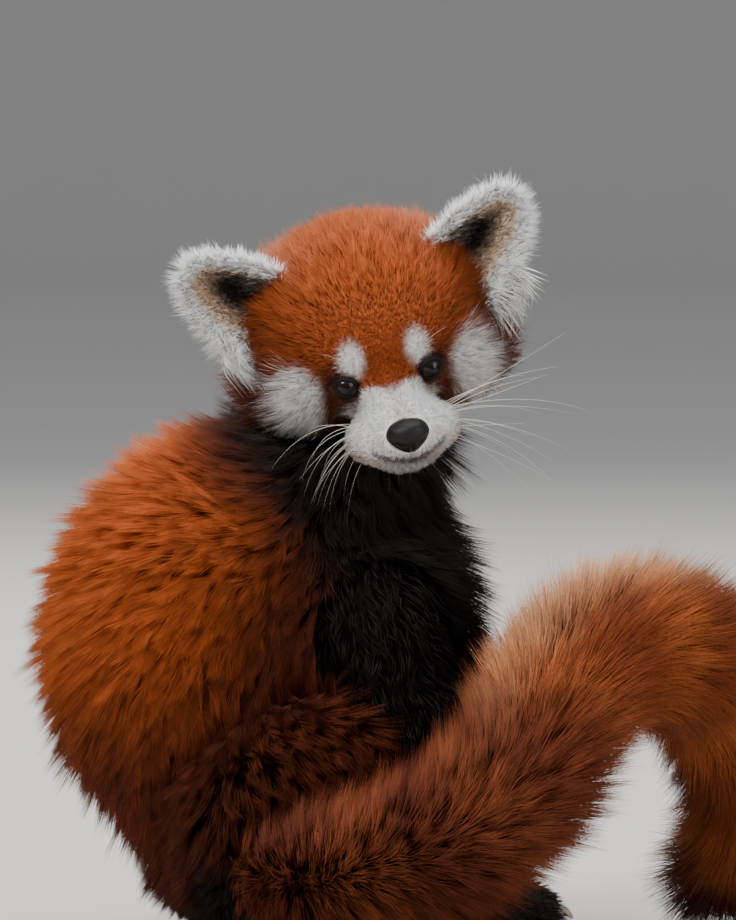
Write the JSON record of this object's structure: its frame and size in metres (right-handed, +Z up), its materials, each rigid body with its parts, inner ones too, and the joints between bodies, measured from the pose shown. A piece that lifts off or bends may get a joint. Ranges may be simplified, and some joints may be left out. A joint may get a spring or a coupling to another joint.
{
  "type": "red panda",
  "caption": "Life-size still red panda, sitting upright with its head turned over the right shoulder and its bushy tail brought round the right side.",
  "frame": {"origin": "the flat under the rump, on the floor", "axes": "+X the way the chest faces, +Y the animal's left, +Z up"},
  "size_m": [0.3938, 0.2496, 0.3849],
  "materials": {
    "coat_rust": "dense rust-red fur",
    "coat_dark": "black-brown fur of the legs, throat and chest",
    "coat_white": "white fur of the ears and face",
    "nose_leather": "moist pebbled black nose skin",
    "eye": "dark brown, wet and glossy",
    "claw": "horn, pale and half clear at the tip"
  },
  "bodies": {
    "root": {"torso": "coat_rust", "neck": "coat_rust", "hind_leg_left": "coat_dark", "hind_leg_right": "coat_dark", "foreleg_left": "coat_dark", "foreleg_right": "coat_dark", "tail_1": "coat_rust", "tail_2": "coat_rust", "tail_3": "coat_rust", "tail_4": "coat_rust", "head": "coat_rust", "nose": "nose_leather", "eye_left": "eye", "eye_right": "eye", "ear_left": "coat_white", "ear_right": "coat_white"}
  },
  "joints": []
}
